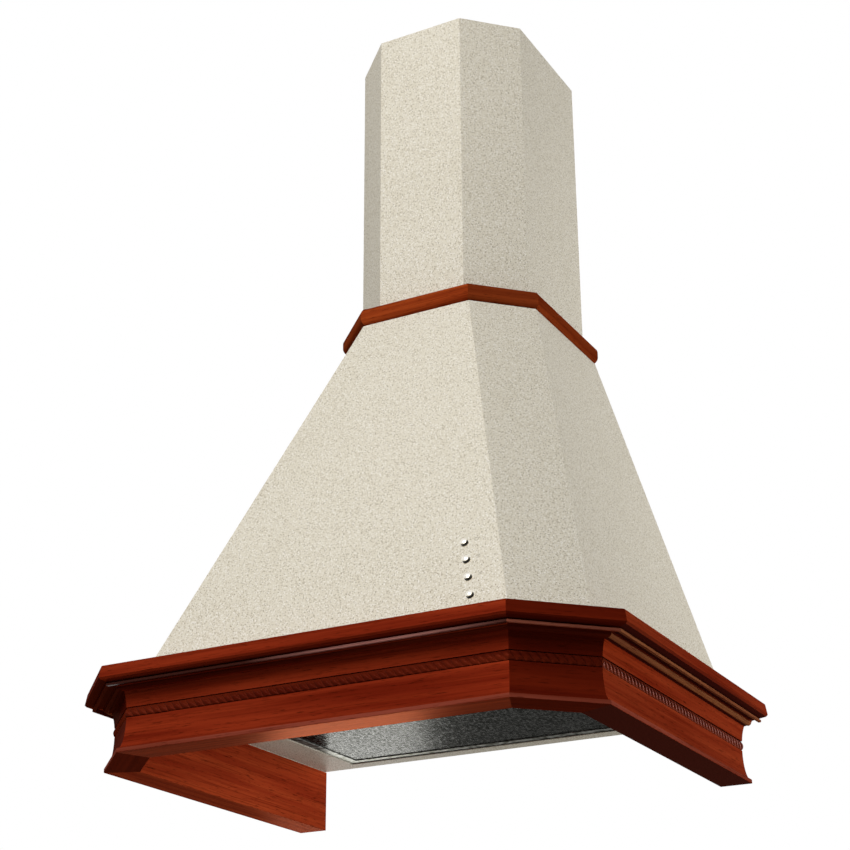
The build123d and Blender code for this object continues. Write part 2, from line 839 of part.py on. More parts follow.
def duct_collar():
    """Round spigot for the duct, with a stop ledge, a cross bar and bores for the damper pins."""
    inner = duct_radius - duct_wall
    ledge_top = damper_z - damper_thickness / 2 - slip
    bar_top = damper_z - damper_pin_diameter / 2 - slip
    spigot = tube(duct_radius, inner, plate_thickness, plate_thickness + duct_length)
    spigot += tube(inner + duct_wall / 2, inner - damper_ledge, ledge_top - damper_ledge_height, ledge_top)
    half_bar = damper_bar_width / 2
    spigot += block((-inner, -half_bar, bar_top - damper_bar_height), (inner, half_bar, bar_top))
    for side in (-1, 1):
        pocket = inner - 2 * damper_ledge
        pin = Pos(0, side * damper_pin_offset, damper_z)
        spigot -= pin * along_x(rod(damper_pin_diameter / 2 + running, -2 * inner, 2 * inner))
        spigot -= pin * along_x(rod(damper_pin_diameter / 2 + slip, -pocket, pocket))
    return outlet_place * spigot


def damper_flap(side):
    """Half-round flap with its pin, closed on the ledge."""
    radius = duct_radius - duct_wall - damper_gap
    disc = rod(radius, damper_z - damper_thickness / 2, damper_z + damper_thickness / 2)
    low, high = sorted((side * damper_pin_offset, side * duct_diameter))
    flap = disc & block((-duct_diameter, low, 0), (duct_diameter, high, 2 * damper_z))
    return outlet_place * (flap + damper_pin(damper_pin_diameter / 2, side))


# Electrical fittings
terminal_low = panel_top_z + terminal_rise
terminal_high = terminal_low + terminal_height
gland_place = Pos(terminal_centre, -sheet - terminal_depth / 2, terminal_high)


def terminal_box():
    """Open-fronted box on the rear panel, holed on top for the cable gland."""
    low = (terminal_centre - terminal_width / 2, -sheet - terminal_depth, terminal_low)
    high = (terminal_centre + terminal_width / 2, -sheet, terminal_high)
    box = block(low, high)
    inner_low = (low[0] + terminal_wall, low[1] - terminal_wall, low[2] + terminal_wall)
    inner_high = (high[0] - terminal_wall, high[1] - terminal_wall, high[2] - terminal_wall)
    box -= block(inner_low, inner_high)
    return box - gland_place * rod(gland_shank_diameter / 2 + seat, -2 * terminal_wall, terminal_wall)


def terminal_lid():
    front = -sheet - terminal_depth
    lid = block(
        (terminal_centre - terminal_width / 2, front - terminal_wall, terminal_low),
        (terminal_centre + terminal_width / 2, front, terminal_high),
    )
    return fillet(lid.edges().filter_by(Axis.Y), terminal_wall)


def cable_gland():
    """Hollow gland screwed into the box's top."""
    gland = rod(gland_diameter / 2, 0, gland_height)
    gland = chamfer(gland.edges().group_by(Axis.Z)[-1], gland_height / 4)
    gland += rod(gland_shank_diameter / 2, -2 * terminal_wall, 0)
    return gland_place * (gland - rod(gland_bore_diameter / 2, -terminal_height, terminal_height))


capacitor_place = Pos(capacitor_centre, -sheet - clip_thickness - seat - capacitor_diameter / 2, terminal_low)


def capacitor():
    can = rod(capacitor_diameter / 2, 0, capacitor_length)
    return capacitor_place * chamfer(can.edges().group_by(Axis.Z)[-1], capacitor_round)


def capacitor_clip():
    """Band round the capacitor with a foot on the rear panel."""
    radius = capacitor_diameter / 2 + seat
    low = (capacitor_length - clip_height) / 2
    band = tube(radius + clip_thickness, radius, low, low + clip_height)
    reach = radius + clip_foot
    foot = block((-reach, radius, low), (reach, radius + clip_thickness, low + clip_height))
    return capacitor_place * (band + foot)


def pieces():
    """Every node with its shape."""
    found = {
        "canopy_shell": canopy_shell(),
        "rear_panel": rear_panel(),
        "underside_panel": underside_panel(),
        "chimney_cover": chimney_cover(),
        "chimney_bracket": chimney_bracket(),
        "switch_block": switch_block(),
        "filter_frame": filter_frame(),
        "filter_mesh_lower": filter_mesh_lower(),
        "filter_mesh_upper": filter_mesh_upper(),
        "filter_latch": filter_latch(),
        "fan_wheel": fan_wheel(),
        "motor": motor(),
        "motor_shaft": motor_shaft(),
        "motor_bracket": motor_bracket(),
        "blower_mount": blower_mount(),
        "outlet_plate": outlet_plate(),
        "duct_collar": duct_collar(),
        "damper_flap_front": damper_flap(-1),
        "damper_flap_rear": damper_flap(1),
        "terminal_box": terminal_box(),
        "terminal_lid": terminal_lid(),
        "cable_gland": cable_gland(),
        "capacitor": capacitor(),
        "capacitor_clip": capacitor_clip(),
    }
    casing = blower_casing()
    found["blower_casing_left"] = split(casing, bisect_by=Plane.YZ, keep=Keep.BOTTOM)
    found["blower_casing_right"] = split(casing, bisect_by=Plane.YZ, keep=Keep.TOP)
    for run, name in enumerate(RUNS):
        found["frame_" + name] = frame_board(run)
        found["rope_" + name] = rope(run)
        found["collar_" + name] = collar_piece(run)
    for number, place in enumerate(button_places(), start=1):
        found[f"button_cap_{number}"] = place * button_cap()
        found[f"button_plunger_{number}"] = place * button_plunger()
    found["button_bezels"] = Compound(children=[place * button_bezel() for place in button_places()])
    for side, place in lamp_places.items():
        found[f"lamp_{side}_bezel"] = place * lamp_bezel()
        found[f"lamp_{side}_lens"] = place * lamp_lens()
        found[f"lamp_{side}_can"] = place * lamp_can()
        found[f"lamp_{side}_bulb"] = place * lamp_bulb()
    return found


os.makedirs("parts", exist_ok=True)
for node, shape in pieces().items():
    export_step(shape, f"parts/{node}.step")
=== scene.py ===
import json
from functools import cache
from math import cos, pi, radians, sin, sqrt, tan

import bmesh
import bpy
from mathutils import Matrix, Vector, noise


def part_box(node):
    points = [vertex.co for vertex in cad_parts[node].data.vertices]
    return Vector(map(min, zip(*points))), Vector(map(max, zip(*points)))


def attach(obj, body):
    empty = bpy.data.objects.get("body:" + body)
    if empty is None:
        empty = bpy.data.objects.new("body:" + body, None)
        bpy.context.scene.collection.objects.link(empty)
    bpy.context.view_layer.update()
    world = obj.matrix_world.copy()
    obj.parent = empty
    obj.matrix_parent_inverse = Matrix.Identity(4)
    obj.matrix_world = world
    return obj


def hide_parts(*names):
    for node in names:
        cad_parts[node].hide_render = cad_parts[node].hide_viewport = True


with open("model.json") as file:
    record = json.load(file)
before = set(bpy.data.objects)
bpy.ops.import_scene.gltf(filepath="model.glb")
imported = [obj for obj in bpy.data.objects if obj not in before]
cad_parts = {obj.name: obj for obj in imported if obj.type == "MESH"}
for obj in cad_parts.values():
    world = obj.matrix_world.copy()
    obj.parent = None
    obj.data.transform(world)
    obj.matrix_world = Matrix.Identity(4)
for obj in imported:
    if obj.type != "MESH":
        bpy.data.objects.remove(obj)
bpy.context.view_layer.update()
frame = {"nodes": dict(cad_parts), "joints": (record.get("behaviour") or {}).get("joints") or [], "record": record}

# Wall-hung dome range hood, dressed in metres in the frame of its solids:
# X runs to the right, Y into the wall and Z up.
MM = 0.001

# The camera that the photograph was taken with, from a fit to the hood's edges
CAMERA_PLACE = (0.9492, -1.9830, -0.7363)
CAMERA_FORWARD = (-0.4381, 0.8082, 0.3935)
CAMERA_ROLL = -0.27  # degrees
CAMERA_LENS = 76.53  # mm
CAMERA_SENSOR = 36  # mm
CAMERA_SHIFT = (0.0061, 0.0040)

# Stage
FLOOR_Z = -2.2
FLOOR_SIZE = 30.0
FLOOR_PALE = 0.72  # what the eye sees of it under the hood besides the light and the shadow that fall on it
FLOOR_FADE = (2.0, 11.0)  # distances between which it fades into the white of the surroundings
AMBIENT = 0.04  # share of the white surroundings that lights the hood
WHITE = (1, 1, 1, 1)

# Soft boxes: azimuth and elevation in degrees, distance and width in metres, level on a white surface
# that faces them, target, and height as a share of the width
CANOPY = (0.0, -0.25, 0.05)
FILTER = (-0.195, -0.10, -0.224)
SOFT_BOXES = {
    "key": (3, 26, 3.2, 2.0, 1.00, CANOPY),
    "side": (134, -6, 3.0, 1.2, 0.82, CANOPY),
    "back_fill": (-150, 14, 3.0, 1.6, 0.42, CANOPY),
    "under_glow": (-150, -17, 1.4, 0.30, 0.36, FILTER, 2.0),
}

RUNS = ("left_side", "left_corner", "front", "right_corner", "right_side")


def linear(code):
    """Scene-linear colour of an sRGB hex value."""
    channels = [int(code[i:i + 2], 16) / 255 for i in (1, 3, 5)]
    return [c / 12.92 if c <= 0.04045 else ((c + 0.055) / 1.055) ** 2.4 for c in channels] + [1.0]


def add(tree, kind, settings, inputs):
    """Adds a shader node. An input is a plain value, or a pair: another node and the name of its output."""
    node = tree.nodes.new("ShaderNode" + kind)
    for name, value in settings.items():
        setattr(node, name, value)
    sockets = {socket.identifier: socket for socket in node.inputs}
    for name, value in inputs.items():
        if isinstance(value, tuple) and isinstance(value[0], bpy.types.Node):
            outputs = {socket.identifier: socket for socket in value[0].outputs}
            tree.links.new(outputs[value[1]], sockets[name])
        else:
            sockets[name].default_value = value
    return node


def blank(name):
    """A new material with an empty node tree."""
    material = bpy.data.materials.new(name)
    material.use_nodes = True
    material.node_tree.nodes.clear()
    return material, material.node_tree


# Finishes
FLAKES = (  # tint, spacing, and radius as a share of the spacing
    ("#94866E", 3.0 * MM, 0.29),
    ("#B8AC96", 2.2 * MM, 0.36),
    ("#F8F4EC", 2.6 * MM, 0.36),
)
FLAKE_CORE = 0.6  # share of a flake's radius that has its full tint
FLAKE_COVER = 0.85


def powder_coat():
    """Cream powder coat on steel, baked with brown and pale flakes: a satin skin with faint orange peel."""
    material, tree = blank("speckled_cream_powder_coat")
    place = add(tree, "TexCoord", {}, {})
    broad = add(tree, "TexNoise", {}, {"Vector": (place, "Object"), "Scale": 1 / (90 * MM), "Detail": 2.0})
    cream = add(tree, "Mix", {"data_type": "RGBA"}, {
        "Factor_Float": (broad, "Fac"),
        "A_Color": linear("#DDD6C4"),
        "B_Color": linear("#E3DCCB"),
    })
    colour = (cream, "Result_Color")
    # Flakes of under a millimetre, drawn about twice as coarse as they are so that they show
    for tint, grain, share in FLAKES:
        cells = add(tree, "TexVoronoi", {}, {"Vector": (place, "Object"), "Scale": 1 / grain})
        flake = add(tree, "MapRange", {}, {
            "Value": (cells, "Distance"), "From Min": share, "From Max": share * FLAKE_CORE,
            "To Max": FLAKE_COVER,
        })
        blended = add(tree, "Mix", {"data_type": "RGBA"}, {
            "Factor_Float": (flake, "Result"), "A_Color": colour, "B_Color": linear(tint),
        })
        colour = (blended, "Result_Color")
    peel = add(tree, "TexNoise", {}, {"Vector": (place, "Object"), "Scale": 1 / (2.4 * MM), "Detail": 3.0})
    bump = add(tree, "Bump", {}, {"Height": (peel, "Fac"), "Strength": 0.10, "Distance": 0.4 * MM})
    matt = add(tree, "MapRange", {}, {"Value": (peel, "Fac"), "To Min": 0.46, "To Max": 0.58})
    surface = add(tree, "BsdfPrincipled", {}, {
        "Base Color": colour, "Roughness": (matt, "Result"), "Specular IOR Level": 0.0,
        "Coat Weight": 0.06, "Coat Roughness": 0.45, "Normal": (bump, "Normal"),
    })
    add(tree, "OutputMaterial", {}, {"Surface": (surface, "BSDF")})
    return material


GROWTH_LINE = "#561204"
PORE = "#360A02"
# Painted shade: a dark colour laid on the right board's faces that look down
PAINTED_UNDERSIDE_SHADE = "#4A1A14"
# Dark stain beyond the reach of the front listel's painted highlight
BEYOND_HIGHLIGHT = "#3A120A"
FIBRE_TINT = "#FFC8B0"
SHEEN = 0.02
HIGHLIGHT_CORE = 0.2  # share of the painted highlight's reach where it is at full strength
LEVEL_FACE = (-0.6, -0.9)  # how far a normal points down where the painted shade starts and where it is full


def paint_highlight_round(tree, place, colour, centre, reach):
    """Paints a highlight round one place along X: the light stain stays there, and turns dark beyond its reach."""
    along = add(tree, "SeparateXYZ", {}, {"Vector": (place, "Object")})
    offset = add(tree, "Math", {"operation": "SUBTRACT"}, {"Value": (along, "X"), "Value_001": centre})
    away = add(tree, "Math", {"operation": "ABSOLUTE"}, {"Value": (offset, "Value")})
    past_highlight = add(tree, "MapRange", {}, {
        "Value": (away, "Value"), "From Min": HIGHLIGHT_CORE * reach, "From Max": reach,
    })
    return add(tree, "Mix", {"data_type": "RGBA"}, {
        "Factor_Float": (past_highlight, "Result"), "A_Color": (colour, "Result_Color"), "B_Color": linear(BEYOND_HIGHLIGHT),
    })


def paint_shade_below(tree, colour):
    """Paints shade on the face that looks down, in a dark colour."""
    shape = add(tree, "NewGeometry", {}, {})
    facing = add(tree, "SeparateXYZ", {}, {"Vector": (shape, "Normal")})
    below = add(tree, "MapRange", {}, {
        "Value": (facing, "Z"), "From Min": LEVEL_FACE[0], "From Max": LEVEL_FACE[1],
    })
    return add(tree, "Mix", {"data_type": "RGBA"}, {
        "Factor_Float": (below, "Result"), "A_Color": (colour, "Result_Color"), "B_Color": linear(PAINTED_UNDERSIDE_SHADE),
    })


def mahogany(name, turn, dark, light, gloss=0.0, sheen=SHEEN, shaded_below=False, highlight_place=None):
    """Mahogany stained red-brown under lacquer, with its grain along the board, at turn degrees from X."""
    material, tree = blank("stained_mahogany_" + name)
    place = add(tree, "TexCoord", {}, {})

    def streaks(length, width, detail):
        """Noise drawn out along the board."""
        stretched = add(tree, "Mapping", {"vector_type": "TEXTURE"}, {
            "Vector": (place, "Object"),
            "Rotation": (0, 0, radians(turn)),
            "Scale": (length * MM, width * MM, width * MM),
        })
        return add(tree, "TexNoise", {}, {"Vector": (stretched, "Vector"), "Scale": 1.0, "Detail": detail})

    figure = streaks(260, 9, 3.0)
    stain = add(tree, "MapRange", {}, {"Value": (figure, "Fac"), "From Min": 0.32, "From Max": 0.68})
    wood = add(tree, "Mix", {"data_type": "RGBA"}, {
        "Factor_Float": (stain, "Result"), "A_Color": linear(dark), "B_Color": linear(light),
    })
    # Fine growth lines, and the open pores that take up more stain
    lines = streaks(120, 1.6, 4.0)
    line = add(tree, "MapRange", {}, {
        "Value": (lines, "Fac"), "From Min": 0.50, "From Max": 0.72, "To Max": 0.55,
    })
    lined = add(tree, "Mix", {"data_type": "RGBA"}, {
        "Factor_Float": (line, "Result"), "A_Color": (wood, "Result_Color"), "B_Color": linear(GROWTH_LINE),
    })
    pores = streaks(16, 0.9, 2.0)
    pore = add(tree, "MapRange", {}, {
        "Value": (pores, "Fac"), "From Min": 0.60, "From Max": 0.72, "To Max": 0.75,
    })
    colour = add(tree, "Mix", {"data_type": "RGBA"}, {
        "Factor_Float": (pore, "Result"), "A_Color": (lined, "Result_Color"), "B_Color": linear(PORE),
    })
    # Painted highlight: the stain kept light round one place along X, and dark beyond it
    if highlight_place:
        colour = paint_highlight_round(tree, place, colour, *highlight_place)
    # Painted shade on the faces that look down
    if shaded_below:
        colour = paint_shade_below(tree, colour)
    bump = add(tree, "Bump", {"invert": True}, {
        "Height": (pore, "Result"), "Strength": 0.18, "Distance": 0.15 * MM,
    })
    satin = add(tree, "MapRange", {}, {"Value": (figure, "Fac"), "To Min": 0.20, "To Max": 0.28})
    # The fibres shine through the lacquer in a warm colour: a little metal with an amber edge stands for it
    surface = add(tree, "BsdfPrincipled", {}, {
        "Base Color": (colour, "Result_Color"), "Roughness": (satin, "Result"), "Specular IOR Level": gloss,
        "Metallic": sheen, "Specular Tint": linear(FIBRE_TINT), "Normal": (bump, "Normal"),
    })
    add(tree, "OutputMaterial", {}, {"Surface": (surface, "BSDF")})
    return material


def metal(name, dark, light, grain, roughness, edge=None):
    """Bare or plated metal: a colour, a polish and any tint at grazing angles drift together."""
    material, tree = blank(name)
    place = add(tree, "TexCoord", {}, {})
    spread = add(tree, "Mapping", {"vector_type": "TEXTURE"}, {
        "Vector": (place, "Object"), "Scale": [size * MM for size in grain],
    })
    cloud = add(tree, "TexNoise", {}, {"Vector": (spread, "Vector"), "Scale": 1.0, "Detail": 3.0})
    drift = add(tree, "MapRange", {}, {"Value": (cloud, "Fac"), "From Min": 0.35, "From Max": 0.65})
    colour = add(tree, "Mix", {"data_type": "RGBA"}, {
        "Factor_Float": (drift, "Result"), "A_Color": linear(dark), "B_Color": linear(light),
    })
    polish = add(tree, "MapRange", {}, {
        "Value": (drift, "Result"), "To Min": roughness[0], "To Max": roughness[1],
    })
    look = {"Base Color": (colour, "Result_Color"), "Metallic": 1.0, "Roughness": (polish, "Result")}
    if edge:
        rim = add(tree, "Mix", {"data_type": "RGBA"}, {
            "Factor_Float": (drift, "Result"), "A_Color": linear(edge[0]), "B_Color": linear(edge[1]),
        })
        look["Specular Tint"] = (rim, "Result_Color")
    surface = add(tree, "BsdfPrincipled", {}, look)
    add(tree, "OutputMaterial", {}, {"Surface": (surface, "BSDF")})
    return material


def moulded_plastic(name, dark, light):
    """Injection-moulded plastic with a fine spark-eroded grain."""
    material, tree = blank(name)
    place = add(tree, "TexCoord", {}, {})
    grain = add(tree, "TexNoise", {}, {"Vector": (place, "Object"), "Scale": 1 / (0.8 * MM), "Detail": 2.0})
    colour = add(tree, "Mix", {"data_type": "RGBA"}, {
        "Factor_Float": (grain, "Fac"), "A_Color": linear(dark), "B_Color": linear(light),
    })
    bump = add(tree, "Bump", {}, {"Height": (grain, "Fac"), "Strength": 0.15, "Distance": 0.1 * MM})
    matt = add(tree, "MapRange", {}, {"Value": (grain, "Fac"), "To Min": 0.48, "To Max": 0.62})
    surface = add(tree, "BsdfPrincipled", {}, {
        "Base Color": (colour, "Result_Color"), "Roughness": (matt, "Result"), "IOR": 1.5,
        "Normal": (bump, "Normal"),
    })
    add(tree, "OutputMaterial", {}, {"Surface": (surface, "BSDF")})
    return material


def frosted_glass():
    """Sand-blasted lamp glass: a milky disc that scatters what lies behind it."""
    material, tree = blank("frosted_lamp_glass")
    place = add(tree, "TexCoord", {}, {})
    frost = add(tree, "TexNoise", {}, {"Vector": (place, "Object"), "Scale": 1 / (0.7 * MM), "Detail": 3.0})
    milk = add(tree, "Mix", {"data_type": "RGBA"}, {
        "Factor_Float": (frost, "Fac"), "A_Color": linear("#DAD9D2"), "B_Color": linear("#F2F1EC"),
    })
    haze = add(tree, "MapRange", {}, {"Value": (frost, "Fac"), "To Min": 0.35, "To Max": 0.5})
    surface = add(tree, "BsdfPrincipled", {}, {
        "Base Color": (milk, "Result_Color"), "Roughness": (haze, "Result"), "IOR": 1.5,
        "Transmission Weight": 0.55,
    })
    add(tree, "OutputMaterial", {}, {"Surface": (surface, "BSDF")})
    return material


# Woodwork: the grain's turn from X in degrees, and the dark and light of each stain. Each board's stain is made
# lighter or darker by run as painted light and shade: dark on the corners, light on the left side.
TURNS = {"left_side": 90, "left_corner": -45, "front": 0, "right_corner": 45, "right_side": 90}
STAINS_WITH_PAINTED_LIGHT = {
    "left_side": ("#882A14", "#AC4422"),
    "left_corner": ("#4E1005", "#661C0A"),
    "front": ("#6A1B0B", "#8C2F16"),
    "right_corner": ("#4E1005", "#661C0A"),
    "right_side": ("#762210", "#963A1E"),
}
FRONT_SHEEN = 0.10
COLLAR_STAIN = ("#62200B", "#863817")
# Painted light: the front collar's stain is lighter than the other runs'
FRONT_COLLAR_PAINTED_LIGHT = ("#7A290E", "#A2451C")
ROPE_STAIN = ("#4E1207", "#6E2410")
# Painted light: the rope's stain is lighter on the sides
SIDE_ROPE_PAINTED_LIGHT = ("#5E1E10", "#7E321C")
ROPE_GLOSS = 0.012
# Narrow edges: light stains that paint highlights on them, the front one only round one place along X
HIGHLIGHT_STAIN = ("#94442E", "#B06048")
HIGHLIGHT_GLOSS = 0.3
SIDE_HIGHLIGHT_STAIN = ("#864E32", "#9C623C")
FRONT_HIGHLIGHT_STAIN = ("#A96E64", "#C58A80")
FRONT_HIGHLIGHT_GLOSS = 0.1
FRONT_HIGHLIGHT_PLACE = (0.09, 0.15)  # centre along X and reach
EDGE_STAIN = ("#52160A", "#6E2612")
# Painted highlight: a light stain along the edge of the foot
FOOT_HIGHLIGHT_STAIN = ("#783424", "#904434")


@cache
def board_wood(run):
    """Finish of a frame board, in its run's stain with painted light and shade. The front one shines more, and the
    right one has painted shade below.
    """
    sheen = FRONT_SHEEN if run == "front" else SHEEN
    return mahogany(run, TURNS[run], *STAINS_WITH_PAINTED_LIGHT[run], sheen=sheen, shaded_below=run == "right_side")


@cache
def collar_wood(run):
    """Finish of a length of the collar, with painted light making it lighter in front."""
    stain = FRONT_COLLAR_PAINTED_LIGHT if run == "front" else COLLAR_STAIN
    return mahogany("collar_" + run, TURNS[run], *stain)


@cache
def rope_wood(run):
    """Finish of a length of rope, with painted light making it lighter on the sides, and dull on the left."""
    stain = SIDE_ROPE_PAINTED_LIGHT if "side" in run else ROPE_STAIN
    return mahogany("rope_" + run, TURNS[run], *stain, gloss=0.0 if "left" in run else ROPE_GLOSS)


@cache
def highlight_edge_wood(run):
    """Finish of a narrow edge in a light stain that paints a highlight on it, in front only round one place."""
    name, turn = "painted_highlight_" + run, TURNS[run]
    if "side" in run:
        return mahogany(name, turn, *SIDE_HIGHLIGHT_STAIN)
    if run == "front":
        return mahogany(name, turn, *FRONT_HIGHLIGHT_STAIN, gloss=FRONT_HIGHLIGHT_GLOSS, highlight_place=FRONT_HIGHLIGHT_PLACE)
    return mahogany(name, turn, *HIGHLIGHT_STAIN, gloss=HIGHLIGHT_GLOSS)


@cache
def edge_wood(run):
    """Finish of a narrow edge that keeps its stain."""
    return mahogany("edge_" + run, TURNS[run], *EDGE_STAIN)


@cache
def foot_wood(run):
    """Finish of the edge along the foot, in a light stain that paints a highlight on it."""
    return mahogany("foot_" + run, TURNS[run], *FOOT_HIGHLIGHT_STAIN)


# Metals: dark and light of the drift, its grain in mm, roughness, and tints for one that dims at grazing
# angles. Zinc is dull and clouded, chrome a mirror, and rolled aluminium satin with soft patches.
FINISHES = {
    "cream_steel": powder_coat(),
    "zinc_steel": metal("zinc_plated_steel", "#84878A", "#989B9D", (14, 14, 14), (0.68, 0.78)),
    "chrome": metal("polished_chrome", "#E2DDD0", "#F2EDE2", (5, 5, 5), (0.05, 0.10)),
    "filter_aluminium": metal(
        "mill_finish_aluminium", "#74746F", "#989893", (6, 6, 6), (0.28, 0.44), ("#787878", "#8C8C8C")
    ),
    "grey_plastic": moulded_plastic("moulded_grey_polypropylene", "#3A3C3E", "#4A4D50"),
    "black_plastic": moulded_plastic("moulded_black_nylon", "#101011", "#1C1C1D"),
    "motor_steel": metal("pressed_motor_steel", "#6E7174", "#8D9093", (9, 9, 9), (0.30, 0.45)),
    "lamp_glass": frosted_glass(),
}
# Strands flattened between rollers, which glint one by one
MESH_FINISH = metal(
    "flattened_aluminium_mesh", "#50504D", "#6A6A66", (3, 6, 3), (0.18, 0.30), ("#909090", "#A6A6A6")
)
WOOL_FINISH = metal("matted_aluminium_wool", "#222221", "#484846", (2, 2, 2), (0.40, 0.60))
INK_FINISH = moulded_plastic("screen_printed_grey_ink", "#AAA290", "#B8B09E")


def dress_solids():
    """Gives every solid the finish of its slot, with wood grain along each board."""
    for part in frame["record"]["subparts"]:
        solid = frame["nodes"][part["node"]]
        if part["material_slot"] == "stained_wood":
            run = next(run for run in RUNS if part["node"].endswith(run))
            finish = collar_wood(run) if part["node"].startswith("collar") else board_wood(run)
        else:
            finish = FINISHES[part["material_slot"]]
        solid.data.materials.clear()
        solid.data.materials.append(finish)


# Meshes
def skin(verts, faces, rings, closed=False):
    """Joins rings of points one after the other, and caps both ends unless the row closes on itself."""
    begin, count, rows = len(verts), len(rings[0]), len(rings)
    for ring in rings:
        verts.extend(ring)
    for row in range(rows if closed else rows - 1):
        here = begin + row * count
        there = begin + (row + 1) % rows * count
        for side in range(count):
            after = (side + 1) % count
            faces.append([here + side, here + after, there + after, there + side])
    if not closed:
        faces.append([begin + side for side in range(count)])
        faces.append([begin + (rows - 1) * count + side for side in range(count)])


def new_piece(name, verts, faces, finish, body, smooth=True):
    """A mesh piece that rides on a body, with its faces turned outwards."""
    mesh = bpy.data.meshes.new(name)
    mesh.from_pydata(verts, [], faces)
    shell = bmesh.new()
    shell.from_mesh(mesh)
    bmesh.ops.recalc_face_normals(shell, faces=shell.faces)
    shell.to_mesh(mesh)
    shell.free()
    for polygon in mesh.polygons:
        polygon.use_smooth = smooth
    piece = bpy.data.objects.new(name, mesh)
    bpy.context.scene.collection.objects.link(piece)
    mesh.materials.append(finish)
    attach(piece, body)
    return piece


# Mitred lengths let into or laid on the frame moulding
ROPE_PITCH = 9.2 * MM
ROPE_LAY = 52.0  # degrees between a strand and the run
ROPE_GROOVE = 0.75  # share of the bead's radius
ROPE_SHARE = 0.90  # of the groove's height, so that a dark quirk is left along either edge
ROPE_STEP = 0.6 * MM
ROPE_SIDES = 16
ROPE_SINK = 2.0 * MM  # into its groove
ROPE_SWELL = 0.55  # share of the bead's depth that its round takes up
CORNER_TURN = 45  # degrees between one run and the next

# Sections of the narrow edges in mm: in from the fascia and up from the foot
LISTEL = (  # under the soffit, on a neck
    (12.2, 73.1), (11.9, 71.6), (8.6, 71.5), (8.5, 69.5), (9.1, 68.9), (11.9, 68.9), (13.6, 72.9)
)
ASTRAGAL = (  # on the ovolo
    (20.3, 70.05), (20.8, 68.5), (22.0, 67.3), (23.4, 66.6), (24.9, 66.6), (25.6, 67.05)
)
FOOT_EDGE = ((25.3, 4.7), (24.75, 4.3), (24.75, 0.5), (25.3, 0.1))


def outline():
    """Plan corners of the fascia, from the wall on the left, round the front, to the wall on the right."""
    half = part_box("frame_right_side")[1].x
    depth = -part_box("frame_front")[0].y
    front_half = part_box("frame_front")[1].x
    corner = half - front_half
    return [
        Vector((-half, 0)), Vector((-half, corner - depth)), Vector((-front_half, -depth)),
        Vector((front_half, -depth)), Vector((half, corner - depth)), Vector((half, 0)),
    ]


def mitred_run(run):
    """Length of a run, and functions for how far along it a point lies and for where that is."""
    points = outline()
    number = RUNS.index(run)
    start, end = points[number], points[number + 1]
    length = (end - start).length
    along = (end - start) / length
    inward = Vector((-along.y, along.x))
    slant = tan(radians(CORNER_TURN / 2))
    first = 0.0 if number == 0 else slant
    last = 0.0 if number == len(RUNS) - 1 else slant

    def ahead(share, inset):
        """Distance along the run from its share between the two mitres, at an inset from the fascia."""
        return first * inset + (length - (first + last) * inset) * share

    def spot(share, inset, height):
        """Point at that share of the run, in from the fascia, at a height."""
        plan = start + along * ahead(share, inset) + inward * inset
        return (plan.x, plan.y, height)

    return length, ahead, spot


def narrow_edge(name, run, section, finish):
    """One mitred length of a narrow edge."""
    spot = mitred_run(run)[2]
    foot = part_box("frame_front")[0].z
    rings = [[spot(share, inset * MM, foot + height * MM) for inset, height in section] for share in (0, 1)]
    verts, faces = [], []
    skin(verts, faces, rings)
    new_piece(f"{name}_{run}", verts, faces, finish, "hood", smooth=False)


def narrow_edges(run):
    """The edges under the soffit and along the foot, some in light stains that paint highlights on them."""
    narrow_edge("listel", run, LISTEL, edge_wood(run) if "left" in run else highlight_edge_wood(run))
    narrow_edge("astragal", run, ASTRAGAL, highlight_edge_wood(run) if "side" in run else edge_wood(run))
    narrow_edge("foot_edge", run, FOOT_EDGE, foot_wood(run))


def rope_bead(run):
    """One mitred length of twisted rope: rounded strands across the bead, in a half-round section."""
    length, ahead, spot = mitred_run(run)
    low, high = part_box("rope_front")
    depth = -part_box("frame_front")[0].y
    face, back = depth + low.y + ROPE_SINK, depth + high.y
    middle_z, half_height = (low.z + high.z) / 2, ROPE_SHARE * (high.z - low.z) / 2
    swell = ROPE_SWELL * (back - face)
    steps = int(length / ROPE_STEP)
    angles = [pi * (side / (ROPE_SIDES - 1) - 0.5) for side in range(ROPE_SIDES)]
    rings = []
    for step in range(steps + 1):
        share = step / steps
        ring = []
        for angle in angles:
            height = half_height * sin(angle)
            inset = face + swell * (1 - cos(angle))
            strand = (ahead(share, inset) + height / tan(radians(ROPE_LAY))) / ROPE_PITCH % 1
            dip = ROPE_GROOVE * (1 - sqrt(1 - (2 * strand - 1) ** 2)) * cos(angle)
            ring.append(spot(share, inset + dip * (back - inset), middle_z + height))
        ring.append(spot(share, back, middle_z + half_height))
        ring.append(spot(share, back, middle_z - half_height))
        rings.append(ring)
    verts, faces = [], []
    skin(verts, faces, rings)
    piece = new_piece("twisted_rope_" + run, verts, faces, rope_wood(run), "hood")
    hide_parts("rope_" + run)


# Grease filter: two layers of expanded aluminium with a pad of aluminium wool between them
LOWER_MESH = (6 * MM, 3.6 * MM, 0.9 * MM)  # long way, short way and strand
UPPER_MESH = (9 * MM, 5.4 * MM, 1.1 * MM)
STRAND_ROCK = 0.02 * MM  # unevenness of a strand across its width
ROCK_GRAIN = 4 * MM
WOOL_LOW = 4.4 * MM  # above the filter's face
WOOL_HIGH = 6.4 * MM
WOOL_STEP = 3 * MM
WOOL_LOFT = 0.6 * MM
WOOL_GRAIN = 5 * MM
WOOL_MARGIN = 2 * MM  # in from the mesh's edges
LATCH_MARGIN = 2 * MM  # round the latch and its travel


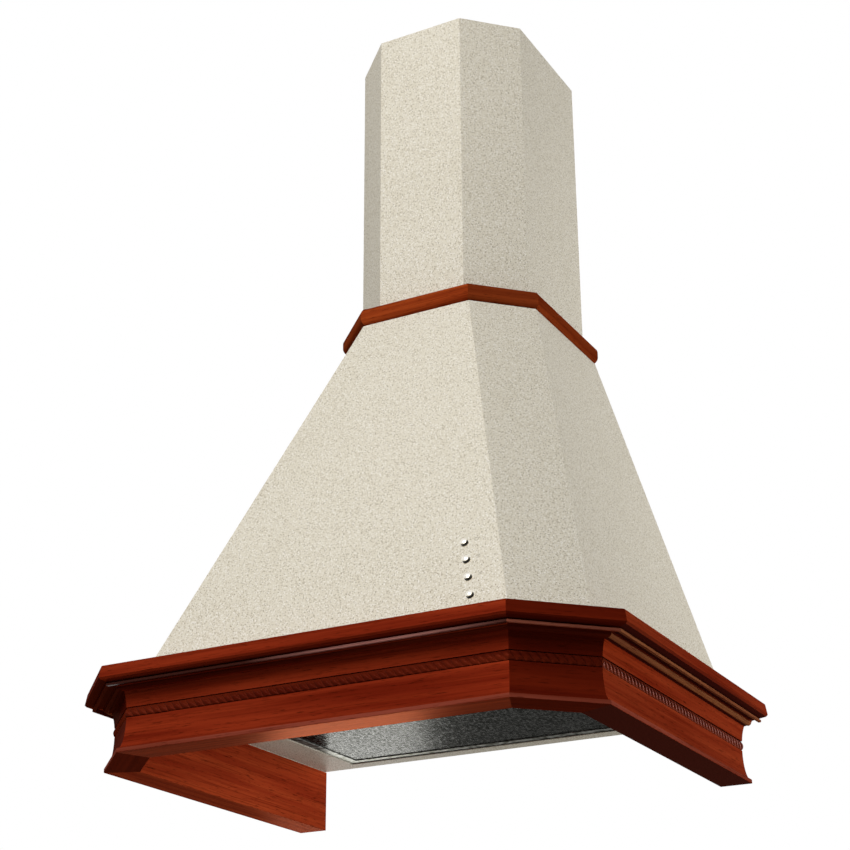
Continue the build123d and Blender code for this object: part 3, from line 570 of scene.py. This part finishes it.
def expanded_mesh(name, node, sizes, across, gap=None):
    """Slit, stretched and flattened sheet: zigzag strands that meet at their knots, along X or across it."""
    long_way, short_way, strand = sizes
    low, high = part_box(node)
    lead, other = (1, 0) if across else (0, 1)
    columns = int((high[lead] - low[lead]) / (long_way / 2))
    rows = int((high[other] - low[other]) / (short_way / 2)) - 1
    swing = short_way / 4 - strand / 2
    verts, faces = [], []

    def ring(ahead, aside):
        """Section of a strand, rocked a little so that the flattened strands glint unevenly."""
        rock = STRAND_ROCK * noise.noise(Vector((ahead, aside, low.z)) / ROCK_GRAIN)
        points = []
        for side, level in ((-1, 0), (1, 0), (1, 1), (-1, 1)):
            point = [0, 0, high.z if level else low.z + abs(rock) + side * rock]
            point[lead] = ahead
            point[other] = aside + side * strand / 2
            points.append(tuple(point))
        return points

    for row in range(rows):
        centre = low[other] + (row + 1) * short_way / 2
        lengths = [[]]
        for column in range(columns + 1):
            ahead = low[lead] + column * long_way / 2
            aside = centre + swing * (-1) ** (row + column)
            x, y = (aside, ahead) if across else (ahead, aside)
            if gap and gap[0] < x < gap[1] and y < gap[2]:
                lengths.append([])
            else:
                lengths[-1].append(ring(ahead, aside))
        for rings in lengths:
            if len(rings) > 1:
                skin(verts, faces, rings)
    piece = new_piece(name, verts, faces, MESH_FINISH, "filter", smooth=False)
    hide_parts(node)


def wool_pad():
    """Matted wool between the layers: a thin slab with uneven faces."""
    low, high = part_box("filter_mesh_upper")
    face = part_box("filter_frame")[0].z
    width = high.x - low.x - 2 * WOOL_MARGIN
    depth = high.y - low.y - 2 * WOOL_MARGIN
    columns = int(width / WOOL_STEP)
    rows = int(depth / WOOL_STEP)
    across = [low.y + WOOL_MARGIN + depth * row / rows for row in range(rows + 1)]

    def spot(x, y, level):
        """Point on one face of the pad, raised or sunk with the wool."""
        loft = WOOL_LOFT * noise.noise(Vector((x, y, level)) / WOOL_GRAIN)
        return (x, y, face + level + loft)

    rings = []
    for column in range(columns + 1):
        x = low.x + WOOL_MARGIN + width * column / columns
        under = [spot(x, y, WOOL_LOW) for y in across]
        over = [spot(x, y, WOOL_HIGH) for y in reversed(across)]
        rings.append(under + over)
    verts, faces = [], []
    skin(verts, faces, rings)
    new_piece("aluminium_wool_pad", verts, faces, WOOL_FINISH, "filter", smooth=False)


def filter_layers():
    """Both mesh layers, crossed, with room for the latch in the lower one, and the pad."""
    low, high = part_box("filter_latch")
    travel = next(j["range_m"][1] for j in frame["joints"] if j["name"] == "latch_slide")
    room = (low.x - LATCH_MARGIN, high.x + LATCH_MARGIN, high.y + travel + LATCH_MARGIN)
    expanded_mesh("expanded_mesh_lower", "filter_mesh_lower", LOWER_MESH, across=False, gap=room)
    expanded_mesh("expanded_mesh_upper", "filter_mesh_upper", UPPER_MESH, across=True)
    wool_pad()


# Printed marks beside the buttons, which are numbered from the lowest up
BUTTONS = (1, 2, 3, 4)
LAMP_BUTTON = 4
MARK_ASIDE = 13.5 * MM  # right of a button
MARK_WIDTH = 4.2 * MM
MARK_LINE = 0.9 * MM
MARK_THICKNESS = 0.08 * MM
MARK_STEPS = 24
SAME_WAY = 0.999  # cosine between a face and the button's axis


def front_panel():
    """Origin and axes of the front panel: right, up the row of buttons and outwards."""
    outward = -Vector(next(j["axis"] for j in frame["joints"] if j["name"] == "button_1_press"))
    mesh = frame["nodes"]["canopy_shell"].data
    panel = max((p for p in mesh.polygons if p.normal.dot(outward) > SAME_WAY), key=lambda p: p.area)
    caps = [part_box(f"button_cap_{number}") for number in (BUTTONS[0], BUTTONS[-1])]
    first, last = [(low + high) / 2 for low, high in caps]
    climb = (last - first).normalized()
    return panel.center, climb.cross(outward).normalized(), climb, outward


def printed_line(verts, faces, path, closed=False):
    """A thin printed stroke on the front panel, along a path right of and above the mark's centre."""
    right, climb, outward = PANEL[1:]
    rings = []
    for number, point in enumerate(path):
        before = path[number - 1] if number or closed else point
        after = path[(number + 1) % len(path)] if number + 1 < len(path) or closed else point
        side = (after - before).normalized() * MARK_LINE / 2
        side = Vector((-side.y, side.x))
        ring = []
        for edge, level in ((side, 0), (-side, 0), (-side, 1), (side, 1)):
            spot = point + edge
            ring.append(right * spot.x + climb * spot.y + outward * MARK_THICKNESS * level)
        rings.append(ring)
    skin(verts, faces, rings, closed)


def printed_mark(number):
    """A generic mark: one to three bars for the speeds, or a ring for the lamps beside the top button."""
    origin, right, _, outward = PANEL
    verts, faces = [], []
    if number == LAMP_BUTTON:
        turns = [2 * pi * step / MARK_STEPS for step in range(MARK_STEPS)]
        printed_line(verts, faces, [Vector((cos(t), sin(t))) * MARK_WIDTH / 2 for t in turns], closed=True)
    else:
        for bar in range(number):
            level = (bar - (number - 1) / 2) * 2 * MARK_LINE
            printed_line(verts, faces, [Vector((-MARK_WIDTH / 2, level)), Vector((MARK_WIDTH / 2, level))])
    low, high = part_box(f"button_cap_{number}")
    centre = (low + high) / 2 + right * MARK_ASIDE
    centre -= outward * (centre - origin).dot(outward)
    verts = [vert + centre for vert in verts]
    new_piece(f"printed_mark_{number}", verts, faces, INK_FINISH, "hood", smooth=False)


PANEL = front_panel()

# Hex-head sheet-metal screws
TERMINAL_SCREW_INSET = 5 * MM  # in from the plate's edges
OUTLET_SCREW_INSET = 6 * MM
SCREW_FLANGE = 4.0 * MM
SCREW_HEX = 2.75 * MM  # centre to a flat
SCREW_SEGMENTS = 24
SCREW_RINGS = (  # radius, height, and how far the ring is a hexagon
    (SCREW_FLANGE, 0.0, 0), (SCREW_FLANGE, 0.6 * MM, 0), (0.88 * SCREW_FLANGE, 0.9 * MM, 0),
    (SCREW_HEX, 0.9 * MM, 1), (SCREW_HEX, 2.5 * MM, 1), (0.9 * SCREW_HEX, 2.9 * MM, 0.4),
    (0.3 * SCREW_HEX, 3.0 * MM, 0),
)


def hex_screw(name, place, outward):
    """Flanged hex head that stands on a face."""
    turn = Vector((0, 0, 1)).rotation_difference(Vector(outward))
    rings = []
    for radius, height, share in SCREW_RINGS:
        ring = []
        for segment in range(SCREW_SEGMENTS):
            angle = 2 * pi * segment / SCREW_SEGMENTS
            off_flat = (angle + pi / 6) % (pi / 3) - pi / 6
            reach = radius * (1 + share * (1 / cos(off_flat) - 1))
            ring.append(Vector(place) + turn @ Vector((reach * cos(angle), reach * sin(angle), height)))
        rings.append(ring)
    verts, faces = [], []
    skin(verts, faces, rings)
    new_piece(name, verts, faces, FINISHES["zinc_steel"], "hood", smooth=False)


def corner_screws(node, facing, inset):
    """A screw near each corner of a plate that faces along one axis."""
    low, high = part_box(node)
    axis = next(n for n in range(3) if facing[n])
    first, second = [n for n in range(3) if n != axis]
    number = 0
    for one in (low[first] + inset, high[first] - inset):
        for two in (low[second] + inset, high[second] - inset):
            place = [0, 0, 0]
            place[axis] = high[axis] if facing[axis] > 0 else low[axis]
            place[first], place[second] = one, two
            number += 1
            hex_screw(f"{node}_screw_{number}", place, facing)


def screws():
    """The screws that hold the terminal lid and the outlet plate."""
    corner_screws("terminal_lid", (0, -1, 0), TERMINAL_SCREW_INSET)
    corner_screws("outlet_plate", (0, 0, 1), OUTLET_SCREW_INSET)


# Stage, light and camera
def direction(azimuth, elevation):
    """Unit vector from the hood towards a light: azimuth 0 is in front, 90 on the right."""
    level = cos(radians(elevation))
    return Vector((level * sin(radians(azimuth)), -level * cos(radians(azimuth)), sin(radians(elevation))))


def soft_box(name, azimuth, elevation, distance, size, level, target, tall=1.0):
    """Soft light whose power gives that level on a white surface that faces it."""
    light = bpy.data.lights.new(name, "AREA")
    light.shape = "RECTANGLE"
    light.size = size
    light.size_y = size * tall
    light.energy = level * pi**2 * distance**2
    lamp = bpy.data.objects.new(name, light)
    bpy.context.scene.collection.objects.link(lamp)
    lamp.location = Vector(target) + direction(azimuth, elevation) * distance
    lamp.rotation_euler = (Vector(target) - lamp.location).to_track_quat("-Z", "Y").to_euler()
    lamp.visible_camera = False


def shown_level(tree, lit, seen):
    """A strength for light that falls on the hood, and another for what the eye, metal and glass see."""
    rays = add(tree, "LightPath", {}, {})
    direct = add(tree, "Math", {"operation": "MAXIMUM"}, {
        "Value": (rays, "Is Camera Ray"), "Value_001": (rays, "Is Glossy Ray"),
    })
    shown = add(tree, "Math", {"operation": "MAXIMUM"}, {
        "Value": (direct, "Value"), "Value_001": (rays, "Is Transmission Ray"),
    })
    return add(tree, "MapRange", {}, {"Value": (shown, "Value"), "To Min": lit, "To Max": seen})


def surroundings():
    """White to the eye and in reflections, and dimmer as a light."""
    world = bpy.data.worlds.new("white_surroundings")
    bpy.context.scene.world = world
    world.use_nodes = True
    tree = world.node_tree
    tree.nodes.clear()
    strength = shown_level(tree, AMBIENT, 1.0)
    sky = add(tree, "Background", {}, {"Color": WHITE, "Strength": (strength, "Result")})
    add(tree, "OutputWorld", {}, {"Surface": (sky, "Background")})


def floor():
    """Studio floor, below the camera that looks up: pale to the eye and in metal, with the hood's shadow."""
    material, tree = blank("pale_studio_floor")
    place = add(tree, "TexCoord", {}, {})
    tone = add(tree, "TexNoise", {}, {"Vector": (place, "Object"), "Scale": 1 / (400 * MM), "Detail": 2.0})
    colour = add(tree, "Mix", {"data_type": "RGBA"}, {
        "Factor_Float": (tone, "Fac"), "A_Color": linear("#ACABA8"), "B_Color": linear("#B2B1AE"),
    })
    distance = add(tree, "VectorMath", {"operation": "LENGTH"}, {"Vector": (place, "Object")})
    fade = add(tree, "MapRange", {}, {
        "Value": (distance, "Value"), "From Min": FLOOR_FADE[0], "From Max": FLOOR_FADE[1],
        "To Min": FLOOR_PALE, "To Max": 1.0,
    })
    pale = add(tree, "Math", {"operation": "MULTIPLY"}, {
        "Value": (shown_level(tree, 0.0, 1.0), "Result"), "Value_001": (fade, "Result"),
    })
    surface = add(tree, "BsdfPrincipled", {}, {
        "Base Color": (colour, "Result_Color"), "Roughness": 0.8, "Specular IOR Level": 0.0,
        "Emission Color": WHITE, "Emission Strength": (pale, "Value"),
    })
    add(tree, "OutputMaterial", {}, {"Surface": (surface, "BSDF")})
    half = FLOOR_SIZE / 2
    corners = [(-half, -half, 0), (half, -half, 0), (half, half, 0), (-half, half, 0)]
    mesh = bpy.data.meshes.new("studio_floor")
    mesh.from_pydata(corners, [], [(0, 1, 2, 3)])
    mesh.materials.append(material)
    ground = bpy.data.objects.new("studio_floor", mesh)
    ground.location.z = FLOOR_Z
    bpy.context.scene.collection.objects.link(ground)


def photo_camera():
    """Camera of the fit: below the hood, front right, looking up."""
    data = bpy.data.cameras.new("photo_camera")
    data.sensor_width = CAMERA_SENSOR
    data.lens = CAMERA_LENS
    data.shift_x, data.shift_y = CAMERA_SHIFT
    data.dof.use_dof = False
    camera = bpy.data.objects.new("photo_camera", data)
    bpy.context.scene.collection.objects.link(camera)
    forward = Vector(CAMERA_FORWARD)
    turn = forward.to_track_quat("-Z", "Y").to_matrix() @ Matrix.Rotation(radians(CAMERA_ROLL), 3, "Z")
    camera.matrix_world = Matrix.Translation(CAMERA_PLACE) @ turn.to_4x4()
    bpy.context.scene.camera = camera


dress_solids()
for run in RUNS:
    rope_bead(run)
    narrow_edges(run)
filter_layers()
for number in BUTTONS:
    printed_mark(number)
screws()
surroundings()
floor()
for name, values in SOFT_BOXES.items():
    soft_box(name, *values)
photo_camera()
bpy.context.scene.view_settings.view_transform = "Standard"
